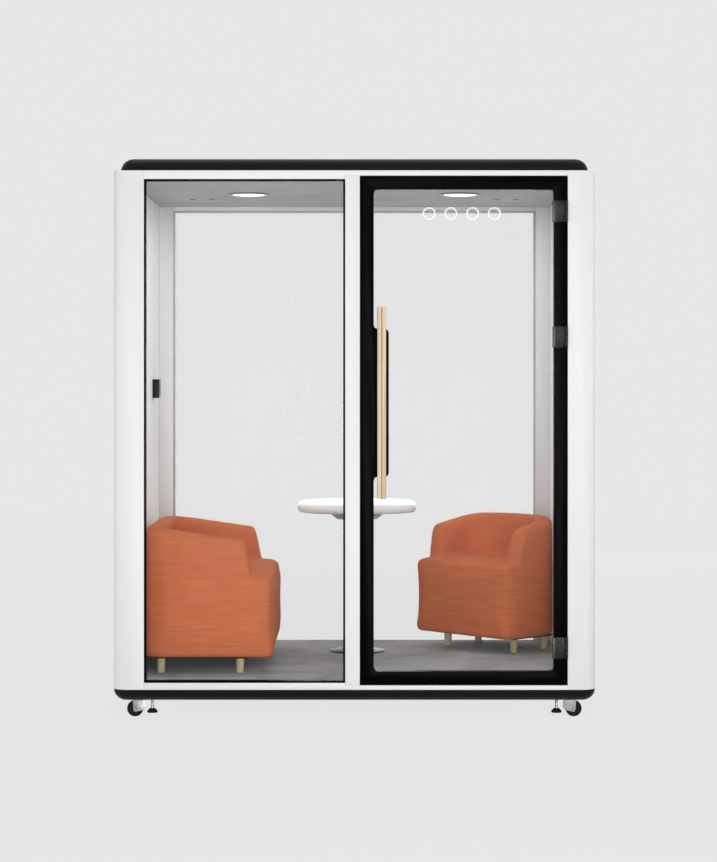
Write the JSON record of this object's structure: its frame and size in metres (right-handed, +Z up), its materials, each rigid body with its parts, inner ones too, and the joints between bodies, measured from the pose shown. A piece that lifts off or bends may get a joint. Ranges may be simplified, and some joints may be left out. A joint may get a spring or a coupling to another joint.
{
  "type": "acoustic office pod",
  "caption": "Glazed sound-insulated meeting cabin on casters, with a hinged glass door, rounded white side walls, facing sofas, a pedestal table, ceiling lamps and fans.",
  "frame": {"origin": "on the floor under the middle of the object's box, handle included", "axes": "+Z up, +X to the right of someone facing the door, the door side faces -Y"},
  "size_m": [2, 1.59, 2.3235],
  "materials": {
    "white_paint": "fine satin powder coat",
    "black_paint": "satin black powder coat",
    "door_black": "smooth black",
    "clear_glass": "clear laminated glass",
    "wall_felt": "pressed acoustic felt",
    "ceiling_felt": "grey acoustic felt",
    "carpet_pile": "short mottled pile",
    "plywood": "birch plywood",
    "oak": "pale oiled oak",
    "upholstery": "terracotta woven upholstery",
    "table_laminate": "satin white laminate",
    "grey_metal": "satin grey",
    "zinc": "zinc plated",
    "rubber": "matt black rubber",
    "wheel_plastic": "matt black",
    "black_plastic": "satin black",
    "lamp_lens": "opal diffuser"
  },
  "bodies": {
    "cabin": {"left_wall_shell": "white_paint", "right_wall_shell": "white_paint", "front_head_rail": "white_paint", "front_sill": "white_paint", "front_mullion": "white_paint", "rear_head_rail": "white_paint", "rear_sill": "white_paint", "base_frame": "black_paint", "roof_cap": "black_paint", "front_light_frame": "black_paint", "door_stop": "black_paint", "front_light_glass": "clear_glass", "rear_light_glass": "clear_glass", "left_wall_panel": "wall_felt", "right_wall_panel": "wall_felt", "ceiling_panel": "ceiling_felt", "carpet": "carpet_pile", "floor_deck": "plywood", "left_sofa_underframe": "oak", "right_sofa_underframe": "oak", "left_sofa": "upholstery", "right_sofa": "upholstery", "table_top": "table_laminate", "rear_light_frame": "grey_metal", "table_pedestal": "grey_metal", "left_lamp_body": "grey_metal", "right_lamp_body": "grey_metal", "lower_hinge_jamb_leaf": "grey_metal", "middle_hinge_jamb_leaf": "grey_metal", "upper_hinge_jamb_leaf": "grey_metal", "magnetic_catch": "zinc", "door_seal": "rubber", "control_box": "black_plastic", "left_fan_frame": "black_plastic", "right_fan_frame": "black_plastic", "left_lamp_lens": "lamp_lens", "right_lamp_lens": "lamp_lens"},
    "door": {"door_frame": "door_black", "door_glass": "clear_glass", "handle_outer": "oak", "handle_inner": "oak", "handle_core": "black_plastic", "lower_hinge_door_leaf": "grey_metal", "middle_hinge_door_leaf": "grey_metal", "upper_hinge_door_leaf": "grey_metal"},
    "left_fan": {"left_fan_rotor": "black_plastic"},
    "right_fan": {"right_fan_rotor": "black_plastic"},
    "control_key": {"control_button": "grey_metal"},
    "front_left_caster": {"front_left_caster_fork": "zinc"},
    "front_left_wheel": {"front_left_caster_wheel": "wheel_plastic"},
    "front_left_foot": {"front_left_levelling_foot": "rubber"},
    "front_right_caster": {"front_right_caster_fork": "zinc"},
    "front_right_wheel": {"front_right_caster_wheel": "wheel_plastic"},
    "front_right_foot": {"front_right_levelling_foot": "rubber"},
    "rear_left_caster": {"rear_left_caster_fork": "zinc"},
    "rear_left_wheel": {"rear_left_caster_wheel": "wheel_plastic"},
    "rear_left_foot": {"rear_left_levelling_foot": "rubber"},
    "rear_right_caster": {"rear_right_caster_fork": "zinc"},
    "rear_right_wheel": {"rear_right_caster_wheel": "wheel_plastic"},
    "rear_right_foot": {"rear_right_levelling_foot": "rubber"}
  },
  "joints": [
    {"name": "door_swing", "type": "hinge", "parent": "cabin", "child": "door", "pos_m": [0.8746, -0.7425, 0], "axis": [0, 0, 1], "range_deg": [0, 110]},
    {"name": "left_fan_spin", "type": "hinge", "parent": "cabin", "child": "left_fan", "pos_m": [-0.695, 0.265, 2.28], "axis": [0, 0, 1], "continuous": true},
    {"name": "right_fan_spin", "type": "hinge", "parent": "cabin", "child": "right_fan", "pos_m": [0.695, 0.265, 2.28], "axis": [0, 0, 1], "continuous": true},
    {"name": "control_press", "type": "slide", "parent": "cabin", "child": "control_key", "axis": [-1, 0, 0], "range_m": [0, 0.002], "stiffness_N_per_m": 600},
    {"name": "front_left_swivel", "type": "hinge", "parent": "cabin", "child": "front_left_caster", "pos_m": [-0.893, -0.63, 0.07], "axis": [0, 0, 1], "continuous": true},
    {"name": "front_left_roll", "type": "hinge", "parent": "front_left_caster", "child": "front_left_wheel", "pos_m": [-0.915, -0.63, 0.0335], "axis": [0, 1, 0], "continuous": true},
    {"name": "front_left_foot_screw", "type": "slide", "parent": "cabin", "child": "front_left_foot", "axis": [0, 0, 1], "range_m": [-0.004, 0.008]},
    {"name": "front_right_swivel", "type": "hinge", "parent": "cabin", "child": "front_right_caster", "pos_m": [0.893, -0.63, 0.07], "axis": [0, 0, 1], "continuous": true},
    {"name": "front_right_roll", "type": "hinge", "parent": "front_right_caster", "child": "front_right_wheel", "pos_m": [0.915, -0.63, 0.0335], "axis": [0, 1, 0], "continuous": true},
    {"name": "front_right_foot_screw", "type": "slide", "parent": "cabin", "child": "front_right_foot", "axis": [0, 0, 1], "range_m": [-0.004, 0.008]},
    {"name": "rear_left_swivel", "type": "hinge", "parent": "cabin", "child": "rear_left_caster", "pos_m": [-0.893, 0.69, 0.07], "axis": [0, 0, 1], "continuous": true},
    {"name": "rear_left_roll", "type": "hinge", "parent": "rear_left_caster", "child": "rear_left_wheel", "pos_m": [-0.915, 0.69, 0.0335], "axis": [0, 1, 0], "continuous": true},
    {"name": "rear_left_foot_screw", "type": "slide", "parent": "cabin", "child": "rear_left_foot", "axis": [0, 0, 1], "range_m": [-0.004, 0.008]},
    {"name": "rear_right_swivel", "type": "hinge", "parent": "cabin", "child": "rear_right_caster", "pos_m": [0.893, 0.69, 0.07], "axis": [0, 0, 1], "continuous": true},
    {"name": "rear_right_roll", "type": "hinge", "parent": "rear_right_caster", "child": "rear_right_wheel", "pos_m": [0.915, 0.69, 0.0335], "axis": [0, 1, 0], "continuous": true},
    {"name": "rear_right_foot_screw", "type": "slide", "parent": "cabin", "child": "rear_right_foot", "axis": [0, 0, 1], "range_m": [-0.004, 0.008]}
  ]
}
